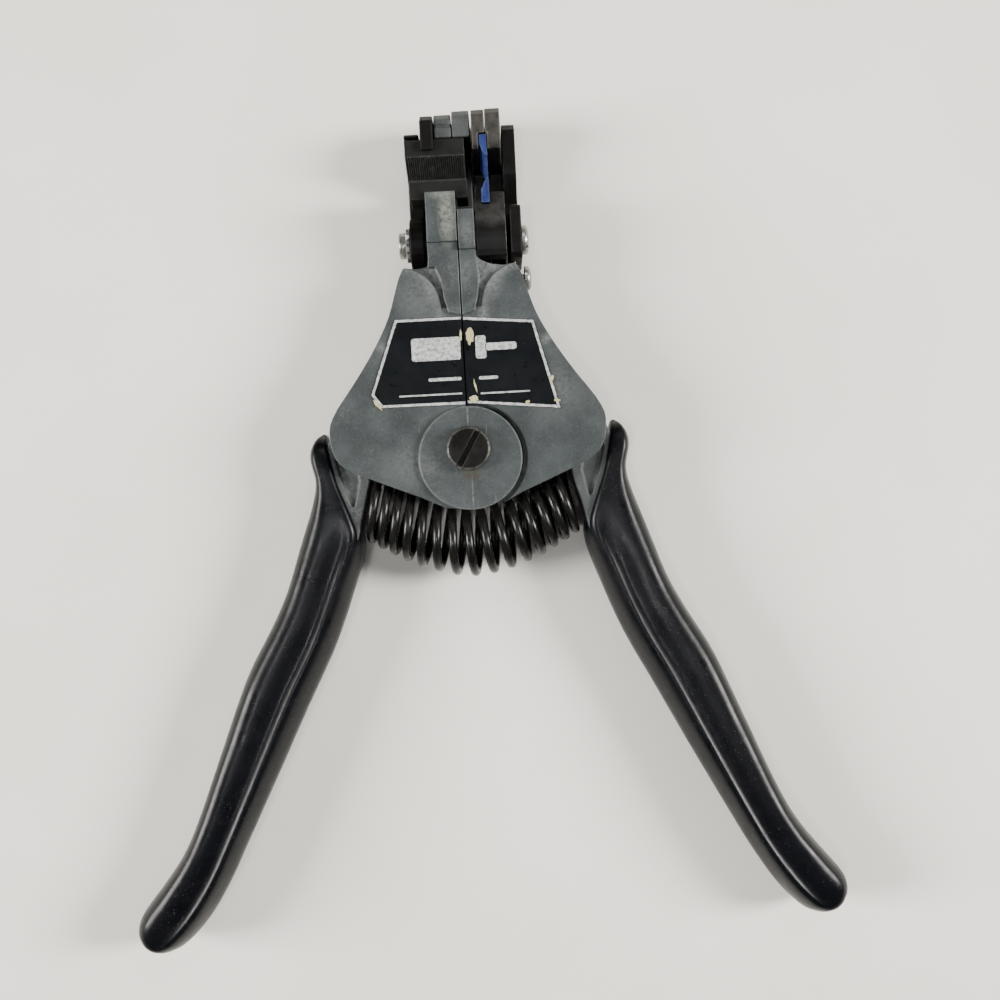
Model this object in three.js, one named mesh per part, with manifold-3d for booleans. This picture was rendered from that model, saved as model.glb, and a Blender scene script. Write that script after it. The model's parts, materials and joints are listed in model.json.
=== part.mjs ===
// Automatic wire stripper: two die-cast frame halves on one main pivot, a gripping head on the
// left half, a cutting head on the right half, and two sleeved handles that turn on shoulder pins.
// Millimetres. Origin: main pivot axis at the back rest plane. +Y towards the jaws, +X towards the
// cutting head, +Z towards the labelled front.

import * as THREE from 'three';
import { mergeVertices } from 'three/addons/utils/BufferGeometryUtils.js';
import Module from 'manifold-3d';

const wasm = await Module();
wasm.setup();

// ---------------------------------------------------------------- driving dimensions

const GAP = 0.3;

// levels along Z
const BACK_OUTER = 1.8;
const BACK_INNER = 4.4;
const FRONT_INNER = 16;
const FRONT_OUTER = 19.2;
const SPINE_TOP = 20.2;
const FINGER_FRONT = 21.2;
const CASTING_BACK = 4.9;
const CASTING_FRONT = 15.2;
const TANG_FRONT = 12.9;
const SLEEVE_BACK = 0.6;
const SLEEVE_FRONT = 17;

// main pivot
const BOSS_RADIUS = 11.3;
const BOSS_CENTRE = [0.3, -2];
const BOSS_FRONT = [18, 20.2];
const BOSS_BACK = [1.2, 2.8];
const KNUCKLE_RADIUS = 9;
const KNUCKLE_FRONT = [15.6, 17.7];
const KNUCKLE_BACK = [3.1, 5];
const RELIEF_CENTRE = [0.7, -1.9];
const RELIEF_RADIUS = 12;
const PIVOT_RADIUS = 3;
const PIVOT_BORE = 3.3;
const SCREW_HEAD_RADIUS = 4.75;
const SCREW_HEAD_TOP = 23;

// shoulder pins, which the handles turn on
const SHOULDER = [23.2, 3.2];
const SHOULDER_PIN_RADIUS = 2.2;
const SHOULDER_BORE = 2.5;

// the handle casting's tang, well inside its sleeve
const TANG_INSET = 3;
const TANG_TOP = -22;
const POCKET_DEPTH = 1.1;

// jaw pins, which run along X
const JAW_PIN_Y = 47.5;
const JAW_PIN_Z = 6.4;
const JAW_PIN_RADIUS = 1.9;
const JAW_PIN_BORE = 2.2;
const HUB_RADIUS = 6;
const JAW_OPENING = THREE.MathUtils.degToRad(25);

// frame halves
const SEAM = 0.15;
const WALL = 2.2;
const WALL_BOTTOM = 11;
const NECK_TOP = 40.6;
const NECK_SCREW_Y = 38.1;
const VALLEY_FLOOR = 18;
const VALLEY_CENTRE = [13.6, 31];
const VALLEY_RADIUS = 9.2;

// jaws
const MOUTH_FLOOR = 59;
const MOUTH_ROOF_FRONT = 65;
const UPPER_FRONT = 16;
const BLADE_SPAN = [5.65, 7.35];
const BLADE_SLOT = [5.5, 7.5];

// springs
const SPRING_WIRE = 1.95;
const SPRING_COILS = 15;
const SPRING_COIL_RADIUS = 6.9;
const SPRING_HALF_CHORD = 22.3;
const SPRING_SAG = 9.2;
const SPRING_SAG_POWER = 1.7;
const SPRING_END_Y = -11.3;
const SPRING_AXIS_Z = 10.1;
const SPRING_CROWDING = 0.08;
const SPRING_END_LEAN = THREE.MathUtils.degToRad(14.5);
const SPRING_POST = [6, 18];
const RETURN_WIRE = 0.7;
const RETURN_COILS = 8;
const RETURN_COIL_RADIUS = 2.2;
const RETURN_COIL_Z = 8;

// ---------------------------------------------------------------- materials

const casting = material(0x7d868c, 0.55, 0.7);
const wornCasting = material(0x9a9f9c, 0.5, 0.7);
const darkSteel = material(0x3b3a39, 0.45, 0.8);
const brownSteel = material(0x6e665d, 0.42, 0.85);
const brightSteel = material(0xb9bab8, 0.3, 0.95);
const oiledSteel = material(0x26241f, 0.3, 0.9);
const vinyl = material(0x0c0d10, 0.28, 0);
const blueSteel = material(0x3f58b8, 0.35, 0.6);
const blackLabel = material(0x15151a, 0.45, 0);

function material(color, roughness, metalness) {
  return new THREE.MeshStandardMaterial({ color, roughness, metalness });
}

// ---------------------------------------------------------------- solids

function solid(geometry) {
  const bare = geometry.clone();
  bare.deleteAttribute('normal');
  bare.deleteAttribute('uv');
  const merged = mergeVertices(bare, 1e-4);
  const vertProperties = new Float32Array(merged.attributes.position.array);
  const triVerts = new Uint32Array(merged.index.array);
  return new wasm.Manifold(new wasm.Mesh({ numProp: 3, vertProperties, triVerts }));
}

function geometryOf(manifold) {
  const mesh = manifold.getMesh();
  const geometry = new THREE.BufferGeometry();
  geometry.setAttribute('position', new THREE.BufferAttribute(new Float32Array(mesh.vertProperties), 3));
  geometry.setIndex(new THREE.BufferAttribute(new Uint32Array(mesh.triVerts), 1));
  geometry.computeVertexNormals();
  return geometry;
}

function join(solids) {
  return solids.reduce((whole, next) => whole.add(next));
}

function cut(whole, cutters) {
  return cutters.reduce((left, cutter) => left.subtract(cutter), whole);
}

// A block between two opposite corners.
function block([x0, y0, z0], [x1, y1, z1]) {
  const geometry = new THREE.BoxGeometry(x1 - x0, y1 - y0, z1 - z0);
  geometry.translate((x0 + x1) / 2, (y0 + y1) / 2, (z0 + z1) / 2);
  return solid(geometry);
}

// An outline in X and Y, as a plate between two heights.
function plate(points, [low, high]) {
  const shape = new THREE.Shape(points.map(([x, y]) => new THREE.Vector2(x, y)));
  const geometry = new THREE.ExtrudeGeometry(shape, { depth: high - low, bevelEnabled: false });
  geometry.translate(0, 0, low);
  return solid(geometry);
}

// A profile given as (y, z) points, as a plate between two places along X.
function sidePlate(points, [left, right]) {
  const shape = new THREE.Shape(points.map(([y, z]) => new THREE.Vector2(y, z)));
  const geometry = new THREE.ExtrudeGeometry(shape, { depth: right - left, bevelEnabled: false });
  geometry.rotateZ(Math.PI / 2);
  geometry.rotateY(Math.PI / 2);
  geometry.translate(left, 0, 0);
  return solid(geometry);
}

// A disc standing along Z.
function disc([x, y], radius, [low, high], sides = 32) {
  const geometry = new THREE.CylinderGeometry(radius, radius, high - low, sides);
  geometry.rotateX(Math.PI / 2);
  geometry.translate(x, y, (low + high) / 2);
  return solid(geometry);
}

// A disc on a jaw pin's axis, standing along X.
function jawDisc(radius, [left, right], sides = 24) {
  const geometry = new THREE.CylinderGeometry(radius, radius, right - left, sides);
  geometry.rotateZ(Math.PI / 2);
  geometry.translate((left + right) / 2, JAW_PIN_Y, JAW_PIN_Z);
  return solid(geometry);
}

function mirrored(points, side) {
  return points.map(([x, y]) => [side * x, y]);
}

function smooth(points, count) {
  const curve = new THREE.SplineCurve(points.map(([x, y]) => new THREE.Vector2(x, y)));
  return curve.getPoints(count).map((point) => [point.x, point.y]);
}

// An outline moved inwards by a distance. The outline runs clockwise.
function inset(points, distance) {
  return points.map(([x, y], index) => {
    const [beforeX, beforeY] = points[(index + points.length - 1) % points.length];
    const [afterX, afterY] = points[(index + 1) % points.length];
    const along = new THREE.Vector2(afterX - beforeX, afterY - beforeY).normalize();
    return [x + along.y * distance, y - along.x * distance];
  });
}

const group = new THREE.Group();

function place(name, manifold, look) {
  const mesh = new THREE.Mesh(geometryOf(manifold), look);
  mesh.name = name;
  group.add(mesh);
}

// ---------------------------------------------------------------- frame halves

// The outer edge of the right half, from the neck down to the boss.
const shoulderEdge = [
  [12.2, 40.4], [13.4, 38], [14.3, 35.2], [16.2, 29.3], [19.2, 23.4], [23.7, 16.4], [28.8, 9.3],
  [30.3, 5], [29.3, -0.5], [26.2, -3.5], [19.8, -6.4], [11.2, -10],
];

function halfOutline(foot) {
  const neck = [[SEAM, 43.4], [3.7, 43.4], [3.8, 42.3], [4.8, 41.3], [7, 40.4], [9.6, 40]];
  return [...neck, ...smooth(shoulderEdge, 30), ...foot];
}

// The outer wall between the plates. It ends above the shoulder, where the handle comes out.
function outerWall(side) {
  const edge = smooth(shoulderEdge, 30);
  const band = [...edge.slice(1, -1), ...inset(edge, WALL).slice(1, -1).reverse()];
  const kept = block([-40, WALL_BOTTOM, BACK_INNER - 0.1], [40, NECK_TOP - 1, FRONT_INNER + 0.1]);
  return plate(mirrored(band, side), [BACK_INNER - 0.2, FRONT_INNER + 0.2]).intersect(kept);
}

function frameShell(side, foot) {
  const outline = mirrored(halfOutline(foot), side);
  const seamWall = sideBlock(side, [SEAM, 27, BACK_INNER - 0.1], [2.5, 41, FRONT_INNER + 0.1]);
  const hubRoom = block(...sideBlock(side, [2.6, 41.2, BACK_OUTER - 1], [14, 50, BACK_INNER + 1]));
  return join([
    plate(outline, [FRONT_INNER, FRONT_OUTER]),
    plate(outline, [BACK_OUTER, BACK_INNER]).subtract(hubRoom),
    outerWall(side),
    block(...seamWall),
  ]);
}

// Corners of a block on the right (side 1) or mirrored to the left (side -1).
function sideBlock(side, [x0, y0, z0], [x1, y1, z1]) {
  if (side > 0) {
    return [[x0, y0, z0], [x1, y1, z1]];
  }
  return [[-x1, y0, z0], [-x0, y1, z1]];
}

// The sunk valley beside the spine: what lies outside a round-cornered flat, up to the neck's top.
function neckValley(side) {
  const reach = block(...sideBlock(side, [SEAM, 31, VALLEY_FLOOR], [13, 44, FRONT_OUTER + 1]));
  const flat = disc([side * VALLEY_CENTRE[0], VALLEY_CENTRE[1]], VALLEY_RADIUS, [0, 30], 48);
  return reach.subtract(flat);
}

// The raised spine, the finger that carries the fixed jaw, and the web that takes the jaw pin.
// The finger stands proud of the spine above fingerFoot.
function neckParts(side, fingerWidth, fingerFoot, fingerTop) {
  const spine = [[SEAM, 29.2], [2.8, 30], [3.7, 33], [4.1, 37], [fingerWidth, 43.4], [SEAM, 43.4]];
  const fingerFrom = (y) => [[SEAM, y], [SEAM, fingerTop], [fingerWidth, fingerTop], [fingerWidth, y]];
  return [
    plate(mirrored(spine, side), [VALLEY_FLOOR - 0.2, SPINE_TOP]),
    plate(mirrored(fingerFrom(40), side), [12.8, SPINE_TOP]),
    plate(mirrored(fingerFrom(fingerFoot), side), [SPINE_TOP - 1, FINGER_FRONT]),
    block(...sideBlock(side, [SEAM, 38, BACK_OUTER], [2.5, fingerTop - 2, 13])),
  ];
}

function frameHoles(side) {
  const [x, y] = SHOULDER;
  return [
    disc([0, 0], PIVOT_BORE, [0, 22], 24),
    disc([side * x, y], SHOULDER_BORE, [2.4, 18.6], 20),
    jawDisc(JAW_PIN_BORE, [-20, 20], 16),
    disc([side * SPRING_POST[0], SPRING_POST[1]], 1.5, [2.9, 17.6], 12),
  ];
}

function gripperFrame() {
  const shell = frameShell(-1, [[5.5, -12.7], [SEAM, -13.1]]);
  const relieved = cut(shell, [
    neckValley(-1),
    disc([0, 0], KNUCKLE_RADIUS + 0.4, [KNUCKLE_FRONT[0] - 1, BOSS_FRONT[0]]),
    disc([0, 0], KNUCKLE_RADIUS + 0.4, [BOSS_BACK[1], KNUCKLE_BACK[1] + 1]),
  ]);
  const whole = join([
    relieved,
    disc(BOSS_CENTRE, BOSS_RADIUS, BOSS_FRONT, 48),
    disc(BOSS_CENTRE, BOSS_RADIUS, BOSS_BACK, 48),
    ...neckParts(-1, 6.7, 45.2, 56),
  ]);
  return cut(whole, frameHoles(-1));
}

// The right half is cut back below the pivot, so that it can swing past the left half.
function cutterFrame() {
  const shell = frameShell(1, [[6.4, -12.4], [SEAM, -0.3]]);
  const relieved = cut(shell, [
    neckValley(1),
    disc(RELIEF_CENTRE, RELIEF_RADIUS, [KNUCKLE_FRONT[1], 30], 48),
    disc(RELIEF_CENTRE, RELIEF_RADIUS, [0, KNUCKLE_BACK[0]], 48),
  ]);
  const whole = join([
    relieved,
    disc([0, 0], KNUCKLE_RADIUS, KNUCKLE_FRONT),
    disc([0, 0], KNUCKLE_RADIUS, KNUCKLE_BACK),
    ...neckParts(1, 3.7, 43.4, 52),
  ]);
  const sideScrewHole = sideScrew(1.4, [10, 15]);
  return cut(whole, [...frameHoles(1), sideScrewHole]);
}

// ---------------------------------------------------------------- main pivot

function pivotScrew() {
  const head = disc([0, 0], SCREW_HEAD_RADIUS, [BOSS_FRONT[1] + 0.05, SCREW_HEAD_TOP], 32);
  const shank = disc([0, 0], PIVOT_RADIUS, [1.3, BOSS_FRONT[1] + 0.2], 24);
  const slot = new THREE.BoxGeometry(12, 1.1, 1.4);
  slot.rotateZ(THREE.MathUtils.degToRad(60));
  slot.translate(0, 0, SCREW_HEAD_TOP);
  return cut(head.add(shank), [solid(slot)]);
}

function pivotNut() {
  return disc([0, 0], 5, [0, BOSS_BACK[0] - 0.05], 6);
}

function pivotBushing() {
  const outer = disc([0, 0], 5.4, [KNUCKLE_BACK[1] + GAP, KNUCKLE_FRONT[0] - GAP], 24);
  return cut(outer, [disc([0, 0], PIVOT_BORE, [0, 22], 24)]);
}

// ---------------------------------------------------------------- handles

// The vinyl sleeve's edge, from its outer mouth corner round the tip to its inner mouth corner.
const sleeveEdge = [
  [32.1, 5.2], [35.2, 2.6], [35.8, -0.5], [34.9, -5.5], [36, -10.5], [39, -19], [42.8, -29.8],
  [46.6, -37.5], [52.5, -48], [58.6, -63], [65, -79.2], [69, -87.5], [73.8, -94.2], [78.4, -99.8],
  [80.2, -104.4], [78.4, -108.6], [74.6, -109.4], [69.4, -106], [62.2, -98], [56.7, -89.6], [48, -72.8],
  [40, -57], [32.8, -43], [28.2, -31.6], [25.6, -25], [24.7, -20.5],
];
const sleeveMouth = [[26.5, -13.9], [29.5, -5.7]];

function sleeveOutline(distance) {
  const edge = smooth(sleeveEdge, 64);
  const moved = inset(edge, distance);
  return [...moved.slice(1, -1), ...sleeveMouth];
}

function handleCasting(side) {
  const [x, y] = SHOULDER;
  const shoulder = [
    [22.3, -5.6], [25.6, -18.4], [28.4, -25.5], [35.5, -25.5], [33.4, -12], [33, -6], [32.4, 0],
    [30.4, 4.6], [26, 6],
  ];
  const pocket = [
    [24.7, -5.8], [26.1, -11.4], [26.7, -11.2], [28.4, -6.4], [29.8, -0.8], [28.8, 1.4], [25.2, -2.4],
  ];
  const camArm = [[16.4, 5.4], [3.6, 27.4], [3.4, 30.2], [5, 31], [6.6, 30.2], [21.2, 9.4]];
  const whole = join([
    plate(mirrored(tangOutline(TANG_INSET), side), [CASTING_BACK, TANG_FRONT]),
    plate(mirrored(shoulder, side), [CASTING_BACK, CASTING_FRONT]),
    disc([side * x, y], 6.4, [CASTING_BACK, CASTING_FRONT], 28),
    plate(mirrored(camArm, side), [11.6, CASTING_FRONT]),
  ]);
  return cut(whole, [
    disc([side * x, y], SHOULDER_BORE, [0, 22], 20),
    plate(mirrored(pocket, side), [CASTING_FRONT - POCKET_DEPTH, CASTING_FRONT + 1]),
    plate(mirrored(pocket, side), [CASTING_BACK - 1, CASTING_BACK + POCKET_DEPTH]),
  ]);
}

// What lies inside the sleeve's edge, below the shoulder.
function tangOutline(distance) {
  return inset(smooth(sleeveEdge, 64), distance).filter(([, y]) => y < TANG_TOP);
}

function handleSleeve(side) {
  const shape = new THREE.Shape(
    mirrored(sleeveOutline(1.2), side).map(([x, y]) => new THREE.Vector2(x, y)),
  );
  const bevel = { bevelEnabled: true, bevelThickness: 1.6, bevelSize: 1.2, bevelSegments: 2 };
  const depth = SLEEVE_FRONT - SLEEVE_BACK - 3.2;
  const geometry = new THREE.ExtrudeGeometry(shape, { depth, ...bevel });
  geometry.translate(0, 0, SLEEVE_BACK + 1.6);
  // The hollow for the shoulder runs out past the mouth, so that the sleeve is open there.
  const shoulderRoom = [
    [22, -10], [25, -19], [27.9, -26], [36, -26], [34.1, -12], [33.7, -6], [33.2, 3], [31, 9],
  ];
  return cut(solid(geometry), [
    plate(mirrored(tangOutline(TANG_INSET - GAP), side), [CASTING_BACK - GAP, TANG_FRONT + GAP]),
    plate(mirrored(shoulderRoom, side), [CASTING_BACK - GAP, CASTING_FRONT + GAP]),
  ]);
}

function shoulderPin(side) {
  const [x, y] = SHOULDER;
  return disc([side * x, y], SHOULDER_PIN_RADIUS, [2.7, 18.3], 20);
}

// ---------------------------------------------------------------- gripping head

// Profile of a jaw lever: up behind the fixed jaw, then forward over it. Points are (y, z).
function leverProfile(top) {
  return [
    [54.8, 0.6], [top, 0.6], [top, 13.9], [top - 1.6, 15.5], [69.3, 15.5], [69.3, 5.6], [54.8, 5.6],
  ];
}

// From the hub up to the back of the lever.
function leverStem([left, right]) {
  return block([left, JAW_PIN_Y, 0.6], [right, 56, 5.6]);
}

function gripperLever() {
  const hubSpan = [-7.2, -2.9];
  const tail = [[48, 6], [46, 12], [36, 12], [35.4, 11], [36, 10], [44, 7.4]];
  const whole = join([
    jawDisc(HUB_RADIUS, hubSpan),
    leverStem(hubSpan),
    sidePlate(leverProfile(74.8), [-4.2, -0.4]),
    sidePlate(leverProfile(75.5), [-0.2, 3.7]),
    block([-7.2, 54.8, 0.6], [3.7, 66, 5.6]),
    sidePlate(tail, [-6.6, -3.4]),
  ]);
  return cut(whole, [
    jawDisc(JAW_PIN_BORE, [-20, 20], 16),
    block([-4.5, 71.7, 15], [-0.3, 72.1, 16]),
  ]);
}

function gripperSidePlate() {
  const span = [-11, -7.7];
  const arm = [
    [JAW_PIN_Y, 0.6], [70.6, 0.6], [70.6, 14.5], [69.8, 15.5], [69.3, 15.5], [69.3, 5.6], [50, 5.6],
  ];
  const whole = join([jawDisc(HUB_RADIUS, span), sidePlate(arm, span)]);
  return cut(whole, [jawDisc(JAW_PIN_BORE, [-20, 20], 16)]);
}

function gripperClip() {
  const hook = [
    [69.3, 0.6], [74.5, 0.6], [74.5, 14.6], [72.7, 17.4], [66.3, 17.4], [66.3, 16.3], [69.3, 16.3],
  ];
  return sidePlate(hook, [-7.3, -4.4]);
}

// The mouth's roof slopes back by the jaw's opening angle, so that it closes flat on the floor.
function roofAt(z) {
  return MOUTH_ROOF_FRONT - (UPPER_FRONT - z) * Math.tan(JAW_OPENING);
}

function upperJawProfile(front, back, top) {
  return [[roofAt(front), front], [top, front], [top, back], [roofAt(back), back]];
}

function gripperUpperPad() {
  return sidePlate(upperJawProfile(UPPER_FRONT, 5.9, 69), [-10.9, 2.3]);
}

function gripperLowerPad() {
  const pad = block([-10, 54.8, 11.2], [2.6, MOUTH_FLOOR, 20]);
  return cut(pad, [block([-6.7 - GAP, 50, 10], [GAP / 2, 56 + GAP, 22])]);
}

function gripperPivotScrew() {
  return jawDisc(2.95, [-13.7, -12.1]).add(jawDisc(JAW_PIN_RADIUS, [-13, -0.6], 16));
}

// A washer with teeth round its edge.
function toothedWasher() {
  const outline = [];
  for (let index = 0; index < 24; index += 1) {
    const angle = (index / 24) * 2 * Math.PI;
    const radius = index % 2 === 0 ? 3.9 : 3.3;
    outline.push([JAW_PIN_Y + radius * Math.cos(angle), JAW_PIN_Z + radius * Math.sin(angle)]);
  }
  return cut(sidePlate(outline, [-12, -11.2]), [jawDisc(JAW_PIN_BORE, [-20, 20], 16)]);
}

// ---------------------------------------------------------------- cutting head

// Half-round wire notches along a blade's edge, given as points between two places in depth.
function notchedEdge(front, back, edgeAt, depthSign) {
  const points = [];
  const notches = 5;
  const pitch = (front - back) / (notches + 1);
  for (let notch = 1; notch <= notches; notch += 1) {
    const centre = front - notch * pitch;
    const radius = pitch * (0.2 + 0.05 * (notches - notch));
    for (const step of [0, 0.25, 0.5, 0.75, 1]) {
      const z = centre + radius * Math.cos(Math.PI * step);
      points.push([edgeAt(z) + depthSign * radius * Math.sin(Math.PI * step), z]);
    }
  }
  return points;
}

function upperBlade() {
  const front = UPPER_FRONT - 0.3;
  const edge = notchedEdge(front, 7.6, roofAt, 1);
  const profile = [[69.5, 7.6], [69.5, front], [roofAt(front), front], ...edge, [roofAt(7.6), 7.6]];
  return sidePlate(profile, BLADE_SPAN);
}

function lowerBlade() {
  const floorAt = () => MOUTH_FLOOR;
  const edge = notchedEdge(19.6, 13.4, floorAt, -1);
  const profile = [[53.6, 13.4], [53.6, 19.6], [MOUTH_FLOOR, 19.6], ...edge, [MOUTH_FLOOR, 13.4]];
  return sidePlate(profile, BLADE_SPAN);
}

// The fixed lower holder: its front is round about the jaw pin.
function lowerBladeHolder() {
  const frontRadius = 13.7;
  const profile = [[42.2, 12.8], [56.4, 12.8]];
  const first = Math.asin((56.4 - JAW_PIN_Y) / frontRadius);
  const last = Math.asin((42.2 - JAW_PIN_Y) / frontRadius);
  for (let step = 0; step <= 12; step += 1) {
    const angle = first + ((last - first) * step) / 12;
    profile.push([
      JAW_PIN_Y + frontRadius * Math.sin(angle),
      JAW_PIN_Z + frontRadius * Math.cos(angle),
    ]);
  }
  const [left, right] = BLADE_SLOT;
  return cut(sidePlate(profile, [4, 10.6]), [block([left, 53.3, 10], [right, 60, 24])]);
}

function upperHolderPlate(span, top) {
  const arm = [
    [JAW_PIN_Y, 0.6], [top, 0.6], [top, 14.4], [top - 1.6, 16], [66.3, 16], [64, 11], [63, 5.6],
    [50, 5.6],
  ];
  const whole = join([jawDisc(HUB_RADIUS, span), sidePlate(arm, span)]);
  const [left, right] = BLADE_SLOT;
  return cut(whole, [
    jawDisc(JAW_PIN_BORE, [-20, 20], 16),
    block([left, 55, 7.3], [right, 69.8, 20]),
  ]);
}

// The tall plate is stepped: full thickness above, thinner round its hub.
function cutterSideLever() {
  const arm = [[56, 0.6], [72.6, 0.6], [73.2, 2], [73.2, 9], [71.6, 11], [62, 9.6], [56, 5.6]];
  const stem = [[JAW_PIN_Y, 0.6], [57, 0.6], [57, 5.6], [50, 5.6]];
  const whole = join([
    jawDisc(HUB_RADIUS, [10.9, 12.4]),
    sidePlate(stem, [10.9, 12.4]),
    sidePlate(arm, [10.8, 13.7]),
  ]);
  return cut(whole, [jawDisc(JAW_PIN_BORE, [-20, 20], 16)]);
}

// The fixed plate under the screw head, with a thick lip along its front.
function cutterGuardPlate() {
  const nose = [[52.9, 18.9], [51.9, 19.8], [42.4, 19.8], [41.4, 18.8]];
  const profile = [[41.4, 1.4], [52.9, 1.4], ...nose];
  const lip = [[41.4, 13.1], [52.9, 13.1], ...nose];
  const whole = sidePlate(profile, [12.7, 14]).add(sidePlate(lip, [11.5, 12.8]));
  return cut(whole, [jawDisc(JAW_PIN_BORE, [-20, 20], 16)]);
}

function cutterPivotScrew() {
  return jawDisc(3.35, [14.1, 15.8]).add(jawDisc(JAW_PIN_RADIUS, [0.6, 15], 16));
}

// A cylinder along X at the screw in the neck's side.
function sideScrew(radius, [left, right]) {
  const geometry = new THREE.CylinderGeometry(radius, radius, right - left, 16);
  geometry.rotateZ(Math.PI / 2);
  geometry.translate((left + right) / 2, NECK_SCREW_Y, 10);
  return solid(geometry);
}

function neckScrew() {
  return sideScrew(2.7, [14.4, 15.9]).add(sideScrew(1.1, [11.4, 15]));
}

// ---------------------------------------------------------------- label

const LABEL_THICKNESS = 0.2;

// The two halves as they sit on their frames. The gripper half has lost its lower corner.
const LABEL_OUTLINES = {
  gripper: [[-SEAM, 29], [-SEAM, 9.7], [-18.6, 9.8], [-20.8, 12.7], [-14.8, 29]],
  cutter: [[SEAM, 28.9], [15.6, 27.5], [20.6, 7.8], [SEAM, 9.95]],
};

function labelHalf(name) {
  return plate(LABEL_OUTLINES[name], [FRONT_OUTER, FRONT_OUTER + LABEL_THICKNESS]);
}

// ---------------------------------------------------------------- springs

// A coil along a sagging line. Its turns crowd and lean towards its ends, which rest on the handles.
class BowedCoil extends THREE.Curve {
  getPoint(t, target = new THREE.Vector3()) {
    const share = 2 * t - 1;
    const place = share + SPRING_CROWDING * Math.sin(Math.PI * share);
    const lean = SPRING_END_LEAN * (Math.tanh(2 * share) / Math.tanh(2));
    const turn = 2 * Math.PI * SPRING_COILS * t;
    const across = SPRING_COIL_RADIUS * Math.cos(turn);
    return target.set(
      SPRING_HALF_CHORD * place - across * Math.sin(lean),
      SPRING_END_Y - SPRING_SAG * (1 - Math.abs(place) ** SPRING_SAG_POWER) + across * Math.cos(lean),
      SPRING_AXIS_Z + SPRING_COIL_RADIUS * Math.sin(turn),
    );
  }
}

// A straight coil across the seam, which draws the two frame halves together.
class StraightCoil extends THREE.Curve {
  getPoint(t, target = new THREE.Vector3()) {
    const turn = 2 * Math.PI * RETURN_COILS * t;
    const [reach, y] = SPRING_POST;
    const x = (reach - 1.8) * (2 * t - 1);
    return target.set(
      x,
      y + RETURN_COIL_RADIUS * Math.cos(turn),
      RETURN_COIL_Z + RETURN_COIL_RADIUS * Math.sin(turn),
    );
  }
}

function coil(curve, wire, steps, sides) {
  const section = new THREE.Shape();
  for (let index = 0; index < sides; index += 1) {
    const angle = (index / sides) * 2 * Math.PI;
    const x = (wire / 2) * Math.cos(angle);
    const y = (wire / 2) * Math.sin(angle);
    if (index === 0) {
      section.moveTo(x, y);
    } else {
      section.lineTo(x, y);
    }
  }
  section.closePath();
  return solid(new THREE.ExtrudeGeometry(section, { steps, extrudePath: curve }));
}

function springPost(side) {
  const [x, y] = SPRING_POST;
  return disc([side * x, y], 1.2, [3.2, 17.3], 12);
}

// ---------------------------------------------------------------- assembly

place('gripper_frame', gripperFrame(), casting);
place('cutter_frame', cutterFrame(), casting);
place('main_pivot_screw', pivotScrew(), darkSteel);
place('main_pivot_nut', pivotNut(), darkSteel);
place('main_pivot_bushing', pivotBushing(), brightSteel);

for (const [name, side] of [['gripper', -1], ['cutter', 1]]) {
  place(`${name}_handle_casting`, handleCasting(side), casting);
  place(`${name}_handle_sleeve`, handleSleeve(side), vinyl);
  place(`${name}_handle_pin`, shoulderPin(side), brightSteel);
  place(`${name}_label_half`, labelHalf(name), blackLabel);
  place(`${name}_frame_spring_post`, springPost(side), brightSteel);
}

place('gripper_jaw_lever', gripperLever(), wornCasting);
place('gripper_side_plate', gripperSidePlate(), darkSteel);
place('gripper_pad_clip', gripperClip(), darkSteel);
place('gripper_upper_pad', gripperUpperPad(), darkSteel);
place('gripper_lower_pad', gripperLowerPad(), darkSteel);
place('gripper_pivot_screw', gripperPivotScrew(), brightSteel);
place('gripper_toothed_washer', toothedWasher(), brightSteel);

place('cutter_inner_plate', upperHolderPlate([4.1, 7], 75.4), brownSteel);
place('cutter_outer_plate', upperHolderPlate([7.15, 10.5], 75.6), brownSteel);
place('cutter_side_lever', cutterSideLever(), darkSteel);
place('cutter_upper_blade', upperBlade(), blueSteel);
place('cutter_lower_blade', lowerBlade(), blueSteel);
place('cutter_lower_holder', lowerBladeHolder(), brownSteel);
place('cutter_guard_plate', cutterGuardPlate(), darkSteel);
place('cutter_pivot_screw', cutterPivotScrew(), brightSteel);
place('cutter_neck_screw', neckScrew(), brightSteel);

place('handle_spring', coil(new BowedCoil(), SPRING_WIRE, 14 * SPRING_COILS, 6), oiledSteel);
place('frame_return_spring', coil(new StraightCoil(), RETURN_WIRE, 12 * RETURN_COILS, 5), oiledSteel);

export default group;
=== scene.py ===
"""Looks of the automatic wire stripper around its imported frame. Lengths are millimetres times MM."""

import json
import math
import random

import bmesh
import bpy
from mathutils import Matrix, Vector, noise


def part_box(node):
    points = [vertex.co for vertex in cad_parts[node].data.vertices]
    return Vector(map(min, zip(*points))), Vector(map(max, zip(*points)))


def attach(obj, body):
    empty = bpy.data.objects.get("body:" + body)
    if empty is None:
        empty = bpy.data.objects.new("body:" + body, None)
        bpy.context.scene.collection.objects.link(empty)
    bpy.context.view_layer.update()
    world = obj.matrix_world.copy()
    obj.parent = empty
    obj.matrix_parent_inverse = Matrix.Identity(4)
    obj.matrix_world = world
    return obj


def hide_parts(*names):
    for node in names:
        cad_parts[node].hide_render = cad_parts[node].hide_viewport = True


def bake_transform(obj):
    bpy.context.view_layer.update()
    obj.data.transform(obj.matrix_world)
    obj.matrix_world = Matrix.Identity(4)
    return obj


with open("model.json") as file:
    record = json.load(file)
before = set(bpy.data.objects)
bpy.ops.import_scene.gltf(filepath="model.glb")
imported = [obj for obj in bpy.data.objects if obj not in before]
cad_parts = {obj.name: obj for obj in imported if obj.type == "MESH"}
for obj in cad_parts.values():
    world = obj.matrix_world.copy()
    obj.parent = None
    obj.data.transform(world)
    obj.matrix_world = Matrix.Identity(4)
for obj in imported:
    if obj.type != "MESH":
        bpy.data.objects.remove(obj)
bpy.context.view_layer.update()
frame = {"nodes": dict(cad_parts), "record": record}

MM = 0.001
NODES = frame["nodes"]
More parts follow.
